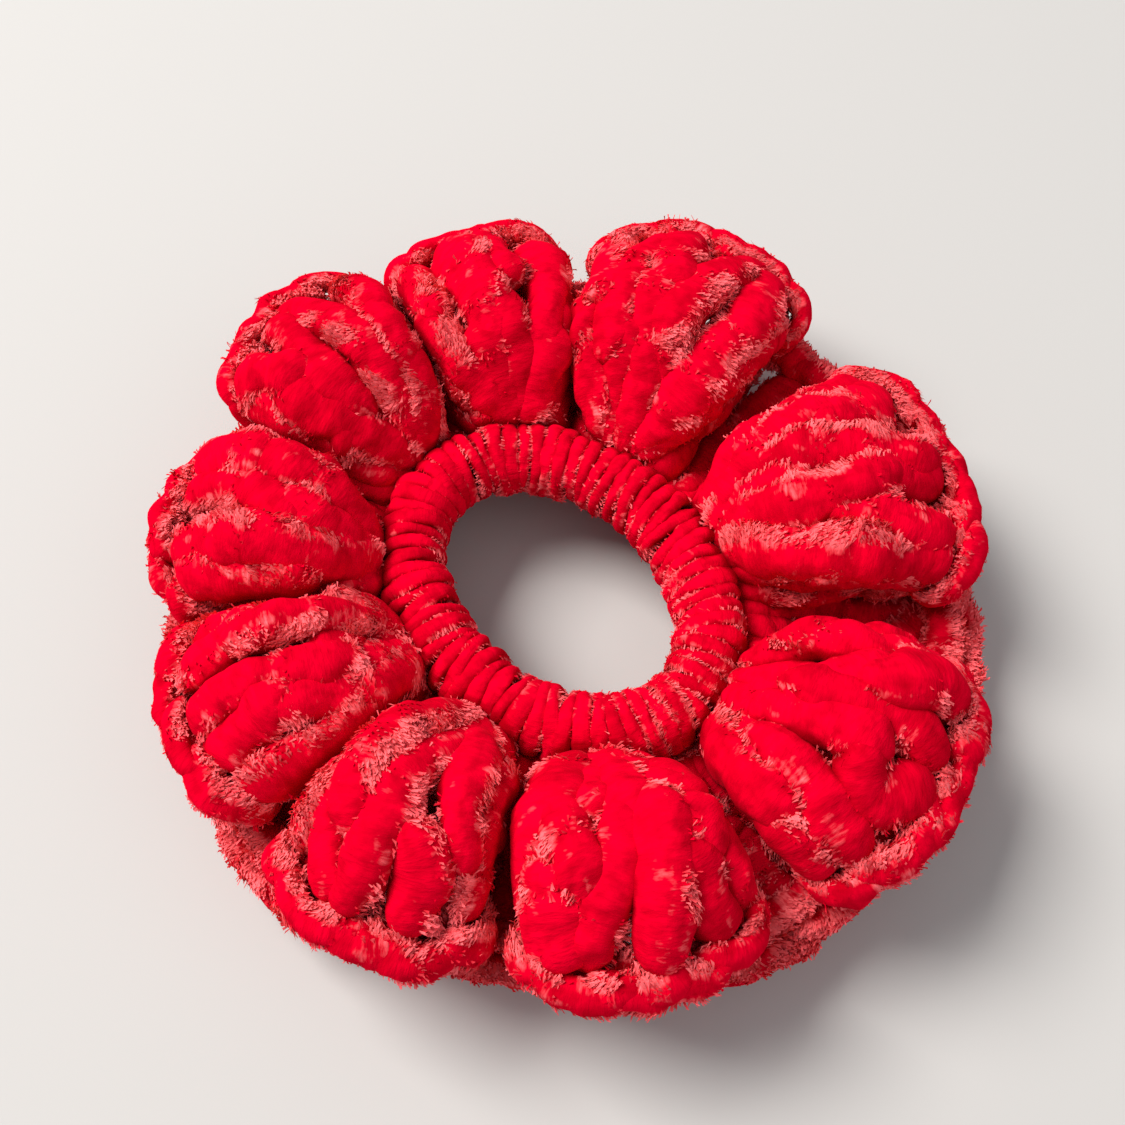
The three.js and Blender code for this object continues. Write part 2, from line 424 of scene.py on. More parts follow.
def makeGroup(name, inputs, outputs):
    group = bpy.data.node_groups.new(name, "ShaderNodeTree")
    for label, (kind, value) in inputs.items():
        socket = group.interface.new_socket(label, in_out="INPUT", socket_type=kind)
        socket.default_value = value
    for label, kind in outputs.items():
        group.interface.new_socket(label, in_out="OUTPUT", socket_type=kind)
    start = addNode(group, "NodeGroupInput", -900, 0)
    end = addNode(group, "NodeGroupOutput", 900, 0)
    return group, start, end


def mixColour(tree, factor, a, b, x, y, blend="MIX"):
    node = addNode(tree, "ShaderNodeMix", x, y, data_type="RGBA", blend_type=blend)
    for socket, value in ((node.inputs[0], factor), (node.inputs[6], a), (node.inputs[7], b)):
        if isinstance(value, bpy.types.NodeSocket):
            tree.links.new(value, socket)
        else:
            socket.default_value = value
    return node.outputs[2]


def maths(tree, operation, a, b, x, y, clamp=False):
    node = addNode(tree, "ShaderNodeMath", x, y, operation=operation, use_clamp=clamp)
    for socket, value in zip(node.inputs, (a, b)):
        if isinstance(value, bpy.types.NodeSocket):
            tree.links.new(value, socket)
        else:
            socket.default_value = value
    return node.outputs[0]


def noiseOn(tree, vector, scale, x, y, detail=2.0, stretch=(1, 1, 1), roughness=0.5):
    mapping = addNode(tree, "ShaderNodeMapping", x, y)
    mapping.inputs["Scale"].default_value = [scale * part for part in stretch]
    noise = addNode(tree, "ShaderNodeTexNoise", x + 180, y)
    noise.inputs["Scale"].default_value = 1.0
    noise.inputs["Detail"].default_value = detail
    noise.inputs["Roughness"].default_value = roughness
    tree.links.new(vector, mapping.inputs["Vector"])
    tree.links.new(mapping.outputs[0], noise.inputs["Vector"])
    return noise.outputs["Fac"]


def spread(tree, value, low, high, x, y):
    node = addNode(tree, "ShaderNodeMapRange", x, y)
    node.inputs["From Min"].default_value = low
    node.inputs["From Max"].default_value = high
    tree.links.new(value, node.inputs["Value"])
    return node.outputs[0]


pileGrain = {
    "streaks": 0.55 * mm,
    "fibres": 0.28 * mm,
    "patches": 5 * mm,
    "nap": 2.2 * mm,
    "crumple": 1.6 * mm,
    "patchRange": (0.52, 0.70),
    "streakRange": (0.38, 0.66),
    "paleRange": (0.27, 0.80),
    "shadeRange": (0.15, 0.72),
    "shadePower": 1.35,
    "crumpleHeight": 1.2,
}


def chenilleGroup():
    # pile colour and height from the strand's own coordinates and attributes; the colour holds painted
    # shade from the light attribute, and painted sheen in its pale mix
    group, start, end = makeGroup(
        "chenillePile",
        {
            "Shade And Dark Tone": ("NodeSocketColor", (0.3, 0.0, 0.01, 1)),
            "Bright": ("NodeSocketColor", (0.85, 0.0, 0.02, 1)),
            "Pale And Sheen": ("NodeSocketColor", (0.9, 0.2, 0.2, 1)),
            "Pale Amount": ("NodeSocketFloat", 1.0),
            "Patch Amount": ("NodeSocketFloat", 0.5),
        },
        {"Color": "NodeSocketColor", "Height": "NodeSocketFloat", "Roughness": "NodeSocketFloat"},
    )
    attribute = {}
    for i, key in enumerate(("pile", "light", "tone", "place")):
        attribute[key] = addNode(group, "ShaderNodeAttribute", -900, -200 - 180 * i, attribute_name=key)
    place = attribute["place"].outputs["Vector"]
    pile, light, tone = (attribute[key].outputs["Fac"] for key in ("pile", "light", "tone"))
    streaks = noiseOn(group, place, 1 / pileGrain["streaks"], -500, 300, 3.0, (1, 0.22, 0.22), 0.6)
    fibres = noiseOn(group, place, 1 / pileGrain["fibres"], -500, 100, 2.0, (1, 0.3, 0.3), 0.6)
    patches = noiseOn(group, place, 1 / pileGrain["patches"], -500, -100, 2.0, (1, 1, 1), 0.55)
    patch = spread(group, patches, *pileGrain["patchRange"], -100, -100)
    patch = maths(group, "MULTIPLY", patch, start.outputs["Patch Amount"], 60, -100)
    tips = spread(group, streaks, *pileGrain["streakRange"], -100, 300)
    combed = maths(group, "ADD", maths(group, "MULTIPLY", tips, 0.7, 200, 260), 0.55, 300, 260)
    # the pale coral is the frayed pile's paler tips together with painted sheen; its patches are painted
    # highlight, pale only where the light attribute is high
    paleAndSheen = maths(group, "ADD", pile, maths(group, "MULTIPLY", patch, light, 200, -100), 240, 0)
    paleAndSheen = maths(group, "MULTIPLY", paleAndSheen, combed, 400, 100)
    paleAndSheen = maths(group, "MULTIPLY", paleAndSheen, start.outputs["Pale Amount"], 480, 100)
    paleAndSheen = spread(group, paleAndSheen, *pileGrain["paleRange"], 560, 100)
    # painted shade: the light attribute darkens the red towards its dark shade colour, with each strand's
    # random tone and the nap on top
    depth = spread(group, light, *pileGrain["shadeRange"], 60, -300)
    depth = maths(group, "POWER", depth, pileGrain["shadePower"], 200, -300)
    nap = noiseOn(group, place, 1 / pileGrain["nap"], -500, -300, 1.0, (1, 0.6, 0.6), 0.5)
    nap = maths(group, "MULTIPLY", spread(group, nap, 0.35, 0.65, -100, -400), 0.42, 60, -420)
    nap = maths(group, "ADD", nap, maths(group, "MULTIPLY", tone, 0.42, 60, -520), 200, -420)
    depth = maths(group, "MULTIPLY", depth, maths(group, "ADD", nap, 0.40, 260, -420), 340, -300)
    lines = maths(group, "ADD", maths(group, "MULTIPLY", tips, 0.3, 260, -560), 0.8, 340, -560)
    depth = maths(group, "MULTIPLY", depth, lines, 440, -300, True)
    base = mixColour(group, depth, start.outputs["Shade And Dark Tone"], start.outputs["Bright"], 520, -200)
    colour = mixColour(group, paleAndSheen, base, start.outputs["Pale And Sheen"], 680, 0)
    group.links.new(colour, end.inputs["Color"])
    crumple = noiseOn(group, place, 1 / pileGrain["crumple"], -500, 500, 1.0, (1, 0.5, 0.5), 0.5)
    crumple = maths(group, "MULTIPLY", crumple, pileGrain["crumpleHeight"], 640, 300)
    height = maths(group, "ADD", maths(group, "MULTIPLY", streaks, 0.7, 500, 400),
                   maths(group, "MULTIPLY", fibres, 0.3, 500, 300), 640, 400)
    height = maths(group, "ADD", height, crumple, 700, 400)
    raised = maths(group, "ADD", maths(group, "MULTIPLY", pile, 0.6, 560, 500), 0.4, 640, 500)
    height = maths(group, "MULTIPLY", height, raised, 760, 400)
    group.links.new(height, end.inputs["Height"])
    roughness = maths(group, "ADD", maths(group, "MULTIPLY", paleAndSheen, 0.25, 600, 200), 0.7, 680, 200, True)
    group.links.new(roughness, end.inputs["Roughness"])
    return group


def chenilleMaterial(name, pile, look):
    material = bpy.data.materials.new(name)
    material.use_nodes = True
    tree = material.node_tree
    tree.nodes.clear()
    effect = addNode(tree, "ShaderNodeGroup", -500, 0, node_tree=pile)
    for label, value in look["pile"].items():
        effect.inputs[label].default_value = value
    shader = addNode(tree, "ShaderNodeBsdfPrincipled", 0, 0)
    shader.inputs["Sheen Weight"].default_value = look["sheen"]
    shader.inputs["Sheen Roughness"].default_value = look["sheenRoughness"]
    shader.inputs["Sheen Tint"].default_value = look["sheenTint"]
    shader.inputs["Specular IOR Level"].default_value = look["specular"]
    bump = addNode(tree, "ShaderNodeBump", -250, -200)
    bump.inputs["Strength"].default_value = look["bump"]
    bump.inputs["Distance"].default_value = look["bumpDepth"]
    output = addNode(tree, "ShaderNodeOutputMaterial", 300, 0)
    tree.links.new(effect.outputs["Color"], shader.inputs["Base Color"])
    tree.links.new(effect.outputs["Roughness"], shader.inputs["Roughness"])
    tree.links.new(effect.outputs["Height"], bump.inputs["Height"])
    tree.links.new(bump.outputs[0], shader.inputs["Normal"])
    tree.links.new(shader.outputs[0], output.inputs[0])
    return material


yarnLook = {
    "pile": {
        # painted shade colour for crevices and valleys, also reached where a strand's random tone is darker
        "Shade And Dark Tone": (0.36, 0.0, 0.006, 1),
        "Bright": (0.79, 0.0, 0.021, 1),
        # pale coral: the frayed pile's paler tips with painted sheen
        "Pale And Sheen": (1.0, 0.155, 0.175, 1),
        "Pale Amount": 1.0,
        "Patch Amount": 0.5,
    },
    "sheen": 0.04,
    "sheenRoughness": 0.35,
    "sheenTint": (1.0, 0.1, 0.15, 1),
    "specular": 0.0,
    "bump": 1.0,
    "bumpDepth": 0.6 * mm,
}
pileGroup = chenilleGroup()
ruffleYarn = chenilleMaterial("ruffleYarn", pileGroup, yarnLook)
ringYarn = chenilleMaterial("ringYarn", pileGroup, {
    **yarnLook, "pile": {**yarnLook["pile"], "Pale Amount": 0.95, "Patch Amount": 0.4}})
hiddenYarn = chenilleMaterial("hiddenYarn", pileGroup, {
    **yarnLook, "pile": {**yarnLook["pile"], "Pale Amount": 0.5, "Patch Amount": 0.2}})
print("materials made")


ruffle = {
    "across": [0.0, 0.12, 0.30, 0.50, 0.70, 0.87, 1.0],         # places from root to border
    "out": [0.0, 0.10, 0.27, 0.48, 0.70, 0.89, 1.0],            # share of the way outward there
    "rise": [0.12, 0.36, 0.78, 1.0, 0.97, 0.76, 0.45],          # share of the fold's height there
    "sway": [0.0, 0.25, 0.80, 1.0, 1.0, 0.95, 0.85],            # share of the overhang there
    "root": 5.2 * mm,
    "crown": 16.3 * mm,
    "overhang": 0.235,
    "notch": 6 * mm,
    # mm, for each crest in turn, a standing fold first
    "reach": [69, 68, 71, 71, 71, 73, 77, 70, 74, 76, 76, 68, 67, 66, 66, 67, 67, 62],
    "pitch": 7.4 * mm,
    "step": 0.7 * mm,
    "frayed": [0.5, 0.4, 0.5, 0.7, 0.4, 0.45, 0.6, 0.7, 0.5],     # for each standing fold
    "frayedShare": 0.9,
    "borderFrayed": 0.45,
    "widths": (4.3, 5.3),              # mm, half the width of a tall stitch
    "slants": (8, 30),                 # degrees that a stitch is turned over on its side
    "lifts": (-0.9, 3.2),              # mm, how far a stitch puffs out of the band
    "crossing": 0.42,                  # how far neighbours lean over each other
    "drift": 0.4,
    "leans": 0.45,
    "overlap": 0.09,
    "waver": 0.035,
    "bulge": 0.22,
    "pointed": 0.24,
    "narrowAt": [0, 0.12, 0.3, 0.8, 1],
    "narrow": [0.62, 0.82, 1.0, 1.05, 1.0],
}
postLook = {
    "around": 34,
    "clumpAlong": 1.9 * mm,
    "clumpAround": 3.0 * mm,
    "clumpHeight": 1.2 * mm,
    "roughness": 0.55,
    "wander": 0.45 * mm,
    "bandFrom": 0.48,          # the frayed band starts this far out towards a strand's edge
    "bandWidth": 0.38,
    "tufts": 10.0,             # for each square millimetre of fully frayed strand
    "tuftLength": 1.35 * mm,
    "tuftWidth": 0.2 * mm,
    "tuftSunk": 0.25 * mm,
    "tuftLift": 0.12 * mm,
    "tuftStand": 0.34,
}


def ruffleAt(q, v):
    # a point of the folded band, for place q round the ring and v from root to border
    q, v = np.broadcast_arrays(np.asarray(q, float), np.asarray(v, float))
    profile = [np.interp(v, ruffle["across"], ruffle[key]) for key in ("out", "rise", "sway")]
    out, rise, sway = profile
    azimuth = azimuthAt(q)
    span = np.radians(azimuthAt(q + 0.5) - azimuthAt(q - 0.5)) * 2
    root = ovalRadius(azimuth) + ruffle["root"]
    reach = np.array(ruffle["reach"]) * mm
    places = np.arange(-sectorCount, 2 * sectorCount)
    limit = np.interp(q, places, np.tile(reach, 3))
    wave = np.cos(np.pi * q)
    limit = limit - ruffle["notch"] * (1 - wave ** 2)
    radius = root + (limit - root) * out
    swing = ruffle["overhang"] * span * np.sin(2 * np.pi * q) * sway
    height = ruffle["crown"] * rise * np.sign(wave) * np.abs(wave) ** 0.85
    return polar(azimuth + np.degrees(swing), radius, height)


def smoothRuffle(q, v):
    # averages a little along the strand, so the profile has no corners
    return sum(ruffleAt(q, np.clip(v + d, 0, 1)) for d in (-0.06, -0.03, 0, 0.03, 0.06)) / 5


def evenPlaces():
    # stitches evenly spaced along the folded band
    q = np.linspace(0, sectorCount, 6001)
    line = ruffleAt(q, np.full_like(q, 0.6))
    length = np.concatenate([[0], np.cumsum(np.linalg.norm(np.diff(line, axis=0), axis=1))])
    count = int(round(length[-1] / ruffle["pitch"]))
    return np.interp((np.arange(count) + 0.5) / count * length[-1], length, q)


def sheetNormal(q, v):
    step = 0.01
    alongBand = ruffleAt(q + step, v) - ruffleAt(q - step, v)
    alongPost = smoothRuffle(q, np.clip(v + 0.02, 0, 1)) - smoothRuffle(q, np.clip(v - 0.02, 0, 1))
    return unit(np.cross(alongBand, alongPost)), unit(alongBand)


def evenPath(path, others, step):
    # the same line with evenly spaced points, and the other values carried along with it
    length = np.concatenate([[0], np.cumsum(np.linalg.norm(np.diff(path, axis=0), axis=1))])
    rows = max(12, int(length[-1] / step))
    t = np.linspace(0, 1, len(path))
    even = np.interp(np.linspace(0, length[-1], rows), length, t)
    carried = [np.stack([np.interp(even, t, value[:, i]) for i in range(3)], -1)
               for value in [path, *others]]
    return even, carried


def roundEnds(t, share):
    ends = np.clip(np.minimum(t, 1 - t) / share, 0, 1)
    return np.sqrt(np.clip(1 - (1 - ends) ** 2, 0.02, 1))


def frayedAt(q):
    # how frayed the ruffle is at place q, from each standing fold's own value
    upper = np.array(ruffle["frayed"])
    places = np.arange(-2, sectorCount + 3, 2)
    values = np.concatenate([upper[-1:], upper, upper[:2]])
    return ruffle["frayedShare"] * (np.interp(q, places, values) - 0.5)


def postStrand(q, low, high, lift, lean, tilt, width, seed):
    # one leaf-shaped length of yarn on the band, from v = low to v = high
    strand = np.random.default_rng(seed)
    t = np.linspace(0, 1, 60)
    v = low + (high - low) * t
    qs = q + lean * (t - 0.5) + ruffle["waver"] * softWave(t, strand, 1.2)
    path = smoothRuffle(qs, v)
    normal, sideways = sheetNormal(qs, v)
    puff = lift * np.sin(np.pi * t) - abs(lift) * 0.7 * np.sign(lift) * (1 - t) ** 4
    path = path + normal * puff[:, None]
    even, (path, normal, sideways) = evenPath(path, [normal, sideways], ruffle["step"])
    sideways = sideways * math.cos(tilt) + normal * math.sin(tilt)
    narrow = np.interp(low + (high - low) * even, ruffle["narrowAt"], ruffle["narrow"])
    bulge = 1 + ruffle["bulge"] * softWave(even, strand, 0.9)
    shape = narrow * roundEnds(even, ruffle["pointed"])
    halfWidth = width * bulge * shape
    halfDepth = 0.9 * width * shape
    return strandMesh(path, sideways, halfWidth, halfDepth, postLook, seed, frayed=frayedAt(q))


border = {
    "start": -0.55,                    # in stitches, before the stitch that it tops
    "run": 1.75,
    "apart": (1.8, 2.9),               # mm, and the next ones too
    "inward": (-2.4, -0.8),
    "bow": (1.8, 3.0),
    "widths": (2.5, 3.3),
    "flatness": 0.85,
    "around": 28,
}


def borderLegs(q, pitch, seed):
    # the two legs of one stitch top, which lie along the band's edge
    legs = []
    strand = np.random.default_rng(seed)
    for side in (-1, 1):
        t = np.linspace(0, 1, 40)
        qs = q + pitch * (border["start"] + border["run"] * t)
        edge = ruffleAt(qs, 1.0)
        inner = ruffleAt(qs, 0.9)
        outward = unit(edge - inner)
        normal, _ = sheetNormal(qs, np.full_like(qs, 0.97))
        bow = np.sin(np.pi * t) ** 0.8
        spreadOut = (0.6 + strand.uniform(*border["apart"]) * bow) * mm * side
        push = (strand.uniform(*border["inward"]) + strand.uniform(*border["bow"]) * bow) * mm
        path = edge + normal * spreadOut[:, None] + outward * push[:, None]
        even, (path, outward) = evenPath(path, [outward], ruffle["step"])
        width = strand.uniform(*border["widths"]) * mm * roundEnds(even, 0.2)
        legs.append(strandMesh(
            path, outward, width, width * border["flatness"], {**postLook, "around": border["around"]},
            seed + 7 + side, frayed=frayedAt(q) + ruffle["borderFrayed"]))
    return legs


def layRuffle():
    places = evenPlaces()
    closed = np.concatenate([[places[-1] - sectorCount], places, [places[0] + sectorCount]])
    pitches = np.gradient(closed)[1:-1]
    grouped = {}
    for j, (q, pitch) in enumerate(zip(places, pitches)):
        draw = np.random.default_rng(500 + j)
        width = draw.uniform(*ruffle["widths"]) * mm
        side = 1 if math.cos(math.pi * q) >= 0 else -1
        fold = round(q / 2)
        slant = math.radians(draw.uniform(*ruffle["slants"])) * (1 if math.sin(2.3 * fold) > 0 else -1)
        towards = ruffle["crossing"] if j % 2 else -ruffle["crossing"]
        slope = towards + ruffle["drift"] * math.sin(1.7 * fold + 0.6)
        cuts = [0.0, draw.uniform(0.34, 0.44) + 0.24 * (j % 2), 0.99]
        strands = []
        for part, (low, high) in enumerate(zip(cuts, cuts[1:])):
            strands.append(postStrand(
                q + pitch * draw.uniform(-0.22, 0.22),
                max(low - ruffle["overlap"], 0), min(high + ruffle["overlap"], 0.99),
                side * draw.uniform(*ruffle["lifts"]) * mm,
                pitch * (slope + draw.uniform(-ruffle["leans"], ruffle["leans"])),
                slant * draw.uniform(0.4, 1.3), width * draw.uniform(0.88, 1.1), 1000 + 10 * j + part))
        strands += borderLegs(q, pitch, 5000 + 10 * j)
        wall = int(math.floor(q))
        half = "" if wall != openGap else ("a" if q - wall < 0.5 else "b")
        grouped.setdefault((wall, half), []).extend(strands)
    print("ruffle laid,", len(places), "stitches")
    return grouped


def fixBetween(piece, wall, half):
    # rides on one of its two sectors where the loop is open, and otherwise stays put with its transform
    # baked in
    after = (wall + 1) % sectorCount
    if half:
        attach(piece, bodyName[wall if half == "a" else after])
    else:
        crestPoint(wall)
        crestPoint(wall + 1)
        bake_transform(piece)


ring = {
    "wraps": 66,
    "pathRadius": 5.2 * mm,
    "halfWidth": 1.55 * mm,
    "halfDepth": 1.38 * mm,
    "innerFrayed": 0.75,
    "leans": (-0.9, 1.6),              # mm, how far a wrap's outer side runs ahead of its inner side
    "uneven": 0.35,                    # mm
    "widths": (0.8, 1.15),
    "depths": (0.92, 1.08),
}
wrapLook = {
    **postLook,
    "around": 22,
    "clumpAlong": 1.5 * mm,
    "clumpAround": 1.6 * mm,
    "clumpHeight": 0.9 * mm,
    "roughness": 0.6,
    "wander": 0.3 * mm,
    "bandFrom": 0.25,
    "bandWidth": 0.5,
    "tuftLength": 1.0 * mm,
    "tuftWidth": 0.14 * mm,
}


def ovalPath(q, height=0.0):
    return polar(azimuthAt(q), ovalRadius(azimuthAt(q)), height)


def ovalLine():
    # places round the ring, and the length of the oval up to each of them
    q = np.linspace(0, sectorCount, 3601)
    steps = np.linalg.norm(np.diff(ovalPath(q), axis=0), axis=1)
    return q, np.concatenate([[0], np.cumsum(steps)])


def layRing():
    q, length = ovalLine()
    places = np.interp((np.arange(ring["wraps"]) + 0.5) / ring["wraps"] * length[-1], length, q)
    grouped = {}
    for i, place in enumerate(places):
        draw = np.random.default_rng(9000 + i)
        middle = ovalPath(place)
        tangent = unit(ovalPath(place + 0.02) - ovalPath(place - 0.02))
        outward = np.array([tangent[1], -tangent[0], 0.0])
        up = np.array([0, 0, 1.0])
        turn = np.linspace(0, 2 * np.pi, 50)
        lean = draw.uniform(*ring["leans"]) * mm
        radius = ring["pathRadius"] * (1 + 0.04 * np.sin(2 * turn + draw.uniform(0, 6)))
        radius = radius + draw.uniform(-ring["uneven"], ring["uneven"]) * mm
        path = middle + outward * (radius * np.cos(turn))[:, None] + up * (radius * np.sin(turn))[:, None]
        path = path + tangent * (lean * np.cos(turn) + 0.3 * mm * np.sin(turn * 2 + i))[:, None]
        width = draw.uniform(*ring["widths"]) * ring["halfWidth"]
        width = width * (1 + 0.15 * np.cos(turn + draw.uniform(-0.5, 0.5)))
        depth = np.full(len(turn), ring["halfDepth"]) * draw.uniform(*ring["depths"])
        inner = ring["innerFrayed"] * np.clip(-np.cos(turn), 0, 1) ** 2 - 0.12
        strand = strandMesh(path, np.tile(tangent, (len(turn), 1)), width, depth, wrapLook,
                            9100 + 3 * i, True, inner)
        wall = int(math.floor(place))
        half = "" if wall != openGap else ("a" if place - wall < 0.5 else "b")
        grouped.setdefault((wall, half), []).append(strand)
    print("ring laid,", ring["wraps"], "wraps")
    return grouped


def dressYarn():
    # all the yarn is laid first, because each piece's pile and painted shade depend on what lies against it
    kinds = {
        "ruffle": {"strands": layRuffle(), "look": postLook, "material": ruffleYarn, "seed": 100},
        "ringStitches": {"strands": layRing(), "look": wrapLook, "material": ringYarn, "seed": 200},
    }
    for kind in kinds.values():
        kind["pieces"] = {place: joinStrands(strands) for place, strands in sorted(kind["strands"].items())}
    filled = fillRoom([piece for kind in kinds.values() for piece in kind["pieces"].values()])
    for label, kind in kinds.items():
        for (wall, half), data in kind["pieces"].items():
            shadePiece(data, filled)
            layTufts(data, kind["look"], kind["seed"] + 2 * wall + (half == "b"))
            piece = makeMesh(f"{label}_{wall + 1:02d}{half}", data, kind["material"])
            fixBetween(piece, wall, half)
            for k in (wall, (wall + 1) % sectorCount):
                level = "upper" if k % 2 == 0 else "lower"
                foldNode = f"{level}_ruffle_{k // 2 + 1}"
                node = foldNode if label == "ruffle" else f"ring_stitches_{k + 1:02d}"
                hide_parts(node)
            print(piece.name, len(data["quads"]) * 2 + len(data["tris"]), "triangles")


dressYarn()


elastic = {
    "radius": 2.0 * mm,
    "wall": 0.4 * mm,
    "relief": 0.08 * mm,
    "strands": 8,                # of the braid, in each direction
    "braidPitch": 9 * mm,
    "threads": 4,
    "threadRadius": 0.5 * mm,
    "threadRing": 0.85 * mm,
    "endGap": 0.04,
    "step": 0.35 * mm,
    "finePitch": 0.55 * mm,      # of the yarns in the braid
    "braidDark": (0.006, 0.0055, 0.006, 1),
    "braidLight": (0.045, 0.04, 0.043, 1),
    "rubberDark": (0.50, 0.38, 0.20, 1),
    "rubberLight": (0.66, 0.54, 0.34, 1),
    "sleeveDark": (0.012, 0.011, 0.012, 1),
    "sleeveLight": (0.026, 0.024, 0.025, 1),
}


def tubeMesh(path, outer, inner, count, relief=None):
    # a tube along path, hollow if it has an inner radius
    along = unit(np.gradient(path, axis=0))
    across = unit(np.cross(along, [0, 0, 1.0]))
    normal = np.cross(along, across)
    length = np.concatenate([[0], np.cumsum(np.linalg.norm(np.diff(path, axis=0), axis=1))])
    s, angle = np.meshgrid(length, np.linspace(0, 2 * np.pi, count, endpoint=False), indexing="ij")
    ray = across[:, None] * np.cos(angle)[..., None] + normal[:, None] * np.sin(angle)[..., None]
    radius = outer + (relief(s, angle) if relief else np.zeros_like(s))
    points = path[:, None] + ray * radius[..., None]
    place = np.stack([s, angle * outer, np.zeros_like(s)], -1)
    if inner:
        points = np.concatenate([points, (path[:, None] + ray * inner)[::-1]])
        place = np.concatenate([place, place[::-1]])
    quad = np.arange(points.shape[0] * count).reshape(-1, count)
    caps = [] if inner else [quad[0][::-1], quad[-1]]
    below = np.roll(quad, -1, axis=0)
    if not inner:
        quad, below = quad[:-1], below[:-1]
    quads = np.stack([quad, np.roll(quad, -1, 1), np.roll(below, -1, 1), below], -1).reshape(-1, 4)
    return {"points": points.reshape(-1, 3), "place": place.reshape(-1, 3), "quads": quads, "caps": caps}


def braidRelief(s, angle):
    helix = 2 * np.pi * s / elastic["braidPitch"] * elastic["strands"] / 2
    turned = elastic["strands"] * angle / 2
    return elastic["relief"] * np.sin(turned + helix) * np.sin(turned - helix)


def elasticStretches():
    # from the middle of each sector to the next, in halves where the loop is open, and cut at the joint
    for wall in range(sectorCount):
        cuts = [wall, wall + 0.5, wall + 1] if wall == openGap else [wall, wall + 1]
        for half, low, high in zip("ab" if wall == openGap else [""], cuts, cuts[1:]):
            low += elastic["endGap"] if low == 0 else 0
            high -= elastic["endGap"] if high == sectorCount else 0
            yield wall, half, low, high


def braidMaterial():
    material, shader = surfaceMaterial("elasticBraid", 0.75)
    tree = material.node_tree
    place = addNode(tree, "ShaderNodeAttribute", -1300, -300, attribute_name="place")
    split = addNode(tree, "ShaderNodeSeparateXYZ", -1100, 0)
    tree.links.new(place.outputs["Vector"], split.inputs[0])
    yarns = []
    for i, operation in enumerate(("ADD", "SUBTRACT")):
        slant = maths(tree, operation, split.outputs[0], split.outputs[1], -940, -160 * i)
        turns = maths(tree, "MULTIPLY", slant, 2 * math.pi / elastic["finePitch"], -780, -160 * i)
        yarns.append(maths(tree, "SINE", turns, 0, -620, -160 * i))
    weave = spread(tree, maths(tree, "MULTIPLY", *yarns, -460, 0), -1, 1, -320, 0)
    colour = mixColour(tree, weave, elastic["braidDark"], elastic["braidLight"], -160, 60)
    tree.links.new(colour, shader.inputs["Base Color"])
    bumpFrom(tree, shader, weave, 0.6, 0.15 * mm)
    return material


def mottledMaterial(name, dark, light, size, roughness, bump):
    # a moulded or drawn material with faint cloudy marks and a fine surface
    material, shader = surfaceMaterial(name, roughness)
    tree = material.node_tree
    where = addNode(tree, "ShaderNodeTexCoord", -1300, 0).outputs["Object"]
    clouds = noiseOn(tree, where, 1 / size, -1100, 100, 3.0)
    grain = noiseOn(tree, where, 8 / size, -1100, -200, 2.0)
    colour = mixColour(tree, spread(tree, clouds, 0.35, 0.65, -500, 100), dark, light, -300, 100)
    tree.links.new(colour, shader.inputs["Base Color"])
    wear = maths(tree, "MULTIPLY", grain, 0.25, -500, -100)
    wear = maths(tree, "ADD", wear, roughness - 0.12, -300, -100)
    tree.links.new(wear, shader.inputs["Roughness"])
    bumpFrom(tree, shader, grain, bump, 0.1 * mm)
    return material


def surfaceMaterial(name, roughness):
    material = bpy.data.materials.new(name)
    material.use_nodes = True
    tree = material.node_tree
    shader = tree.nodes["Principled BSDF"]
    shader.inputs["Roughness"].default_value = roughness
    return material, shader


def bumpFrom(tree, shader, height, strength, distance):
    bump = addNode(tree, "ShaderNodeBump", -200, -250)
    bump.inputs["Strength"].default_value = strength
    bump.inputs["Distance"].default_value = distance
    tree.links.new(height, bump.inputs["Height"])
    tree.links.new(bump.outputs[0], shader.inputs["Normal"])


def layElastic():
    braid = braidMaterial()
    rubber = mottledMaterial("rubberCore", elastic["rubberDark"], elastic["rubberLight"], 2 * mm, 0.6, 0.4)
    q, length = ovalLine()
    for wall, half, low, high in elasticStretches():
        rows = int(abs(np.interp(high, q, length) - np.interp(low, q, length)) / elastic["step"])
        path = ovalPath(np.linspace(low, high, rows))
        inner = elastic["radius"] - elastic["wall"]
        sheath = makeMesh(f"sheath_{wall + 1:02d}{half}",
                          tubeMesh(path, elastic["radius"], inner, 48, braidRelief), braid)
        side = unit(np.cross(unit(np.gradient(path, axis=0)), [0, 0, 1.0]))
        threads = []
        for turn in (np.arange(elastic["threads"]) + 0.5) / elastic["threads"] * 2 * np.pi:
            offset = elastic["threadRing"] * (side * math.cos(turn) + np.array([0, 0, math.sin(turn)]))
            threads.append(tubeMesh(path + offset, elastic["threadRadius"], 0, 14))
        core = makeMesh(f"rubberCore_{wall + 1:02d}{half}", joinStrands(threads), rubber)
        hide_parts("elastic_sheath")
        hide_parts(*[f"rubber_thread_{i + 1}" for i in range(elastic["threads"])])
        for piece in (sheath, core):
            fixBetween(piece, wall, half)
    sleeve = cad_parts["elastic_joint_sleeve"]
    sleeve.data.materials.clear()
    sleeve.data.materials.append(mottledMaterial(
        "jointSleeve", elastic["sleeveDark"], elastic["sleeveLight"], 1.5 * mm, 0.42, 0.3))
    print("elastic laid")


yarnEnds = {
    "start": {"crest": 2, "height": 3.1 * mm, "node": "yarn_start_tail"},
    "end": {"crest": 16, "height": -3.1 * mm, "node": "yarn_end_tail"},
    "length": 24 * mm,
    "radius": 0.72 * mm,
    "knotSpan": 0.5 * mm,
    "knotHeight": 0.8 * mm,
    "knotYarn": 0.85 * mm,
}
endLook = {
    **wrapLook,
    "around": 16,
    "clumpAlong": 1.0 * mm,
    "clumpAround": 1.1 * mm,
    "clumpHeight": 0.16 * mm,
    "wander": 0.05 * mm,
}


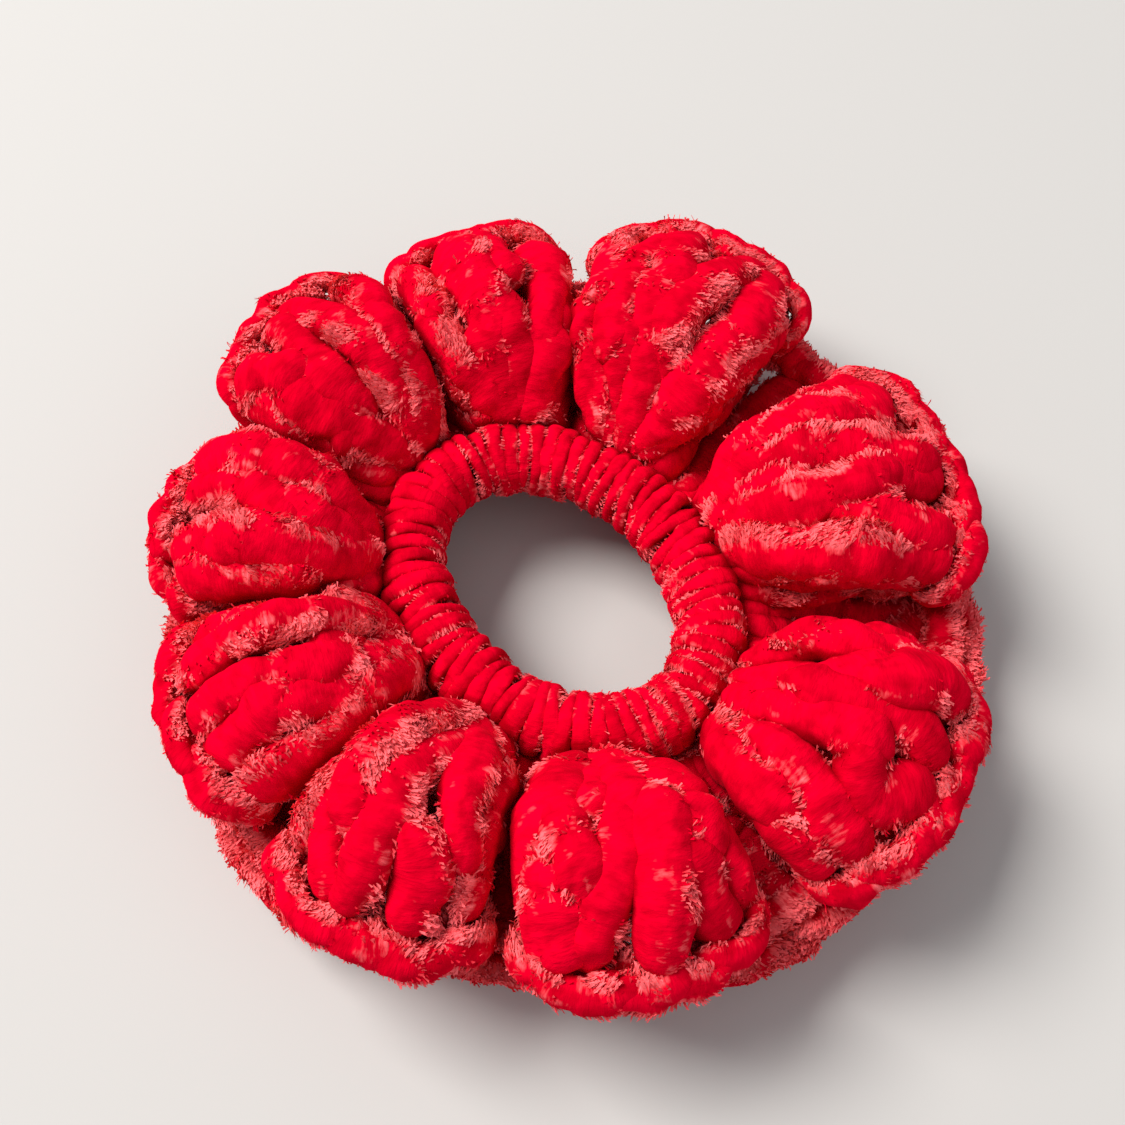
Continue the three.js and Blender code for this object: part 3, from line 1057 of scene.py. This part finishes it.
def layYarnEnds():
    q, length = ovalLine()
    for label in ("start", "end"):
        tail = yarnEnds[label]
        middle = np.interp(tail["crest"], q, length)
        for i, wall in enumerate((tail["crest"] - 1, tail["crest"])):
            span = np.sort([middle, middle + (2 * i - 1) * yarnEnds["length"] / 2])
            places = np.interp(np.linspace(*span, 30), length, q)
            path = ovalPath(places, tail["height"])
            t = np.linspace(0, 1, len(path))
            free = np.clip((t if i == 0 else 1 - t) / 0.12, 0, 1)      # narrows only at the cut end
            radius = yarnEnds["radius"] * np.sqrt(np.clip(1 - (1 - free) ** 2, 0.02, 1))
            strand = strandMesh(path, np.tile([0, 0, 1.0], (len(path), 1)), radius, radius,
                                endLook, 9700 + wall)
            piece = makeMesh(f"{label}Tail_{i + 1}", strand, hiddenYarn)
            fixBetween(piece, wall, "")
            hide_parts(tail["node"])
    low, high = (np.array(corner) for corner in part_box("fasten_off_knot"))
    t = np.linspace(0, 2 * np.pi, 90)
    span, rise = yarnEnds["knotSpan"], yarnEnds["knotHeight"]
    path = np.stack([span * (np.sin(t) + 2 * np.sin(2 * t)), span * (np.cos(t) - 2 * np.cos(2 * t)),
                     -rise * np.sin(3 * t)], -1) + (low + high) / 2
    radius = np.full(len(t), yarnEnds["knotYarn"])
    strand = strandMesh(path, np.tile([0, 0, 1.0], (len(t), 1)), radius, radius, endLook, 9800, True)
    knot = makeMesh("fastenOffKnot", strand, hiddenYarn)
    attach(knot, bodyName[sectorCount - 1])
    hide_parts("fasten_off_knot")
    print("yarn ends laid")


layElastic()
layYarnEnds()


def plainMaterial(name, colour, roughness):
    material = bpy.data.materials.new(name)
    material.use_nodes = True
    shader = material.node_tree.nodes["Principled BSDF"]
    shader.inputs["Base Color"].default_value = (*colour, 1)
    shader.inputs["Roughness"].default_value = roughness
    return material


stage = {
    "floorSize": 30.0,
    "floorColour": (0.52, 0.51, 0.50),
    "keyPlace": (-1.35, 0.6, 1.85),
    "keySize": 1.25,
    "keyPower": 84,
    "keyColour": (1.0, 0.97, 0.93),
    "fillPlace": (1.5, -1.25, 1.5),
    "fillSize": 2.2,
    "fillPower": 10,
    "fillColour": (1.0, 0.98, 0.97),
    "worldColour": (0.9, 0.92, 0.95, 1),
    "worldStrength": 0.40,
}


def areaLight(name, place, size, power, colour):
    data = bpy.data.lights.new(name, "AREA")
    data.size = size
    data.energy = power
    data.color = colour
    light = bpy.data.objects.new(name, data)
    light.location = place
    light.rotation_euler = (Vector(ringCentre) - Vector(place)).to_track_quat("-Z", "Y").to_euler()
    bpy.context.scene.collection.objects.link(light)


def makeStage():
    bpy.ops.mesh.primitive_plane_add(size=stage["floorSize"], location=(0, 0, 0))
    floor = bpy.context.object
    floor.name = "floor"
    floor.data.materials.append(plainMaterial("floorPaper", stage["floorColour"], 0.8))
    for label in ("key", "fill"):
        place, size, power, colour = (stage[label + part] for part in ("Place", "Size", "Power", "Colour"))
        areaLight(f"{label}Light", place, size, power, colour)
    world = bpy.data.worlds.new("softRoom")
    world.use_nodes = True
    background = world.node_tree.nodes["Background"]
    background.inputs["Color"].default_value = stage["worldColour"]
    background.inputs["Strength"].default_value = stage["worldStrength"]
    bpy.context.scene.world = world
    bpy.context.scene.view_settings.view_transform = "Standard"


view = {
    "lens": 38.6,
    "distance": 0.217,
    "elevation": math.radians(62),
    "aim": (0.7 * mm, 5.0 * mm),          # from the middle of the ring
    "nearest": 0.01,
}


def makeCamera():
    data = bpy.data.cameras.new("camera")
    data.lens = view["lens"]
    data.sensor_width = 36
    data.clip_start = view["nearest"]
    camera = bpy.data.objects.new("camera", data)
    aim = Vector(ringCentre) + Vector((*view["aim"], 0))
    back = Vector((0, -math.cos(view["elevation"]), math.sin(view["elevation"])))
    camera.location = aim + back * view["distance"]
    camera.rotation_euler = (-back).to_track_quat("-Z", "Y").to_euler()
    bpy.context.scene.collection.objects.link(camera)
    bpy.context.scene.camera = camera


makeStage()
makeCamera()
print("stage and camera made")
